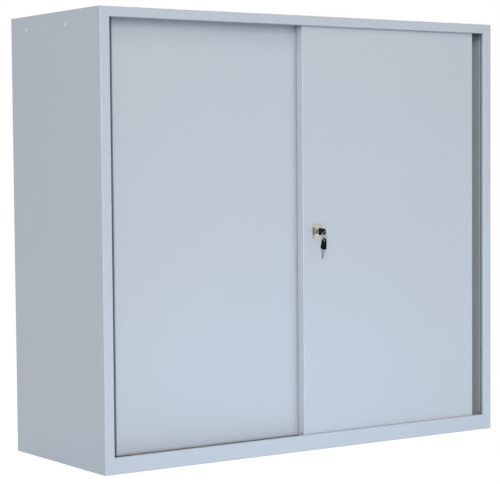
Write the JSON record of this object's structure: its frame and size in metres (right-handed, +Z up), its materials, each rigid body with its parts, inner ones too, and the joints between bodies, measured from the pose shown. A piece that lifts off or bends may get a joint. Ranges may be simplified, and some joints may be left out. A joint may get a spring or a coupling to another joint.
{
  "type": "sliding door cabinet",
  "caption": "Free-standing low steel cabinet with overlapping doors that slide past each other on rollers, adjustable shelves inside and a key lock.",
  "frame": {"origin": "middle of the base, on the floor, on the underside of the bearer under the floor panel", "axes": "+X to the right as seen from the front, +Y from the doors to the back, +Z up"},
  "size_m": [1.2048, 0.4774, 1.09],
  "materials": {
    "case_paint": "light grey satin powder coat on folded sheet steel",
    "door_paint": "light grey satin powder coat on folded sheet steel",
    "zinc_steel": "bright zinc plate on pressed steel",
    "screw_steel": "pan heads coated over with the case's paint",
    "nickel_plate": "satin nickel plate",
    "nylon": "natural white nylon",
    "rubber": "black rubber",
    "black_plastic": "fine-textured black moulded plastic"
  },
  "bodies": {
    "case": {"left_side_panel": "case_paint", "right_side_panel": "case_paint", "top_panel": "case_paint", "floor_panel": "case_paint", "front_bottom_rail": "case_paint", "back_panel": "case_paint", "centre_bearer": "case_paint", "top_track": "zinc_steel", "bottom_track": "zinc_steel", "left_rail_stop": "rubber", "right_rail_stop": "rubber", "left_front_upright": "case_paint", "right_front_upright": "case_paint", "left_rear_upright": "case_paint", "right_rear_upright": "case_paint", "left_front_screw": "screw_steel", "right_front_screw": "screw_steel", "left_rear_screw": "screw_steel", "right_rear_screw": "screw_steel", "shelf_1": "case_paint", "shelf_2": "case_paint", "shelf_1_left_front_clip": "zinc_steel", "shelf_1_right_front_clip": "zinc_steel", "shelf_1_left_rear_clip": "zinc_steel", "shelf_1_right_rear_clip": "zinc_steel", "shelf_2_left_front_clip": "zinc_steel", "shelf_2_right_front_clip": "zinc_steel", "shelf_2_left_rear_clip": "zinc_steel", "shelf_2_right_rear_clip": "zinc_steel"},
    "left_door": {"left_door_pan": "door_paint", "left_door_stiffener": "door_paint", "left_door_roller_bracket_1": "zinc_steel", "left_door_roller_bracket_2": "zinc_steel", "left_door_axle_1": "zinc_steel", "left_door_axle_2": "zinc_steel", "left_door_guide_1": "nylon", "left_door_guide_2": "nylon", "lock_keeper": "zinc_steel"},
    "right_door": {"right_door_pan": "door_paint", "right_door_stiffener": "door_paint", "right_door_roller_bracket_1": "zinc_steel", "right_door_roller_bracket_2": "zinc_steel", "right_door_axle_1": "zinc_steel", "right_door_axle_2": "zinc_steel", "right_door_guide_1": "nylon", "right_door_guide_2": "nylon", "lock_body": "nickel_plate", "lock_nut": "zinc_steel"},
    "left_roller_1": {"left_door_roller_1": "nylon"},
    "left_roller_2": {"left_door_roller_2": "nylon"},
    "right_roller_1": {"right_door_roller_1": "nylon"},
    "right_roller_2": {"right_door_roller_2": "nylon"},
    "lock_core": {"lock_plug": "nickel_plate", "lock_cam": "zinc_steel", "key_blade": "nickel_plate", "key_head": "black_plastic"},
    "ring": {"key_ring": "nickel_plate"},
    "spare_key": {"spare_key_blade": "nickel_plate", "spare_key_head": "black_plastic"}
  },
  "joints": [
    {"name": "left_door_slide", "type": "slide", "parent": "case", "child": "left_door", "axis": [1, 0, 0], "range_m": [0, 0.527]},
    {"name": "right_door_slide", "type": "slide", "parent": "case", "child": "right_door", "axis": [1, 0, 0], "range_m": [-0.527, 0]},
    {"name": "left_roller_1_turn", "type": "hinge", "parent": "left_door", "child": "left_roller_1", "pos_m": [-0.485, -0.1695, 0.043], "axis": [0, 1, 0], "range_deg": [0, 2323]},
    {"name": "left_roller_2_turn", "type": "hinge", "parent": "left_door", "child": "left_roller_2", "pos_m": [-0.042, -0.1695, 0.043], "axis": [0, 1, 0], "range_deg": [0, 2323]},
    {"name": "right_roller_1_turn", "type": "hinge", "parent": "right_door", "child": "right_roller_1", "pos_m": [0.042, -0.2005, 0.043], "axis": [0, 1, 0], "range_deg": [-2323, 0]},
    {"name": "right_roller_2_turn", "type": "hinge", "parent": "right_door", "child": "right_roller_2", "pos_m": [0.485, -0.2005, 0.043], "axis": [0, 1, 0], "range_deg": [-2323, 0]},
    {"name": "lock_turn", "type": "hinge", "parent": "right_door", "child": "lock_core", "pos_m": [0.024, -0.213, 0.552], "axis": [0, -1, 0], "range_deg": [0, 90]},
    {"name": "ring_swing", "type": "hinge", "parent": "lock_core", "child": "ring", "pos_m": [0.024, -0.2449, 0.5504], "axis": [1, 0, 0], "range_deg": [-80, 10]},
    {"name": "spare_key_swing", "type": "hinge", "parent": "ring", "child": "spare_key", "pos_m": [0.024, -0.2449, 0.5324], "axis": [0.9877, 0.1564, 0], "range_deg": [-60, 8]}
  ],
  "couplings": [
    {"joint": "left_roller_1_turn", "follows": "left_door_slide", "rad_per_m": 76.923},
    {"joint": "left_roller_2_turn", "follows": "left_door_slide", "rad_per_m": 76.923},
    {"joint": "right_roller_1_turn", "follows": "right_door_slide", "rad_per_m": 76.923},
    {"joint": "right_roller_2_turn", "follows": "right_door_slide", "rad_per_m": 76.923}
  ]
}
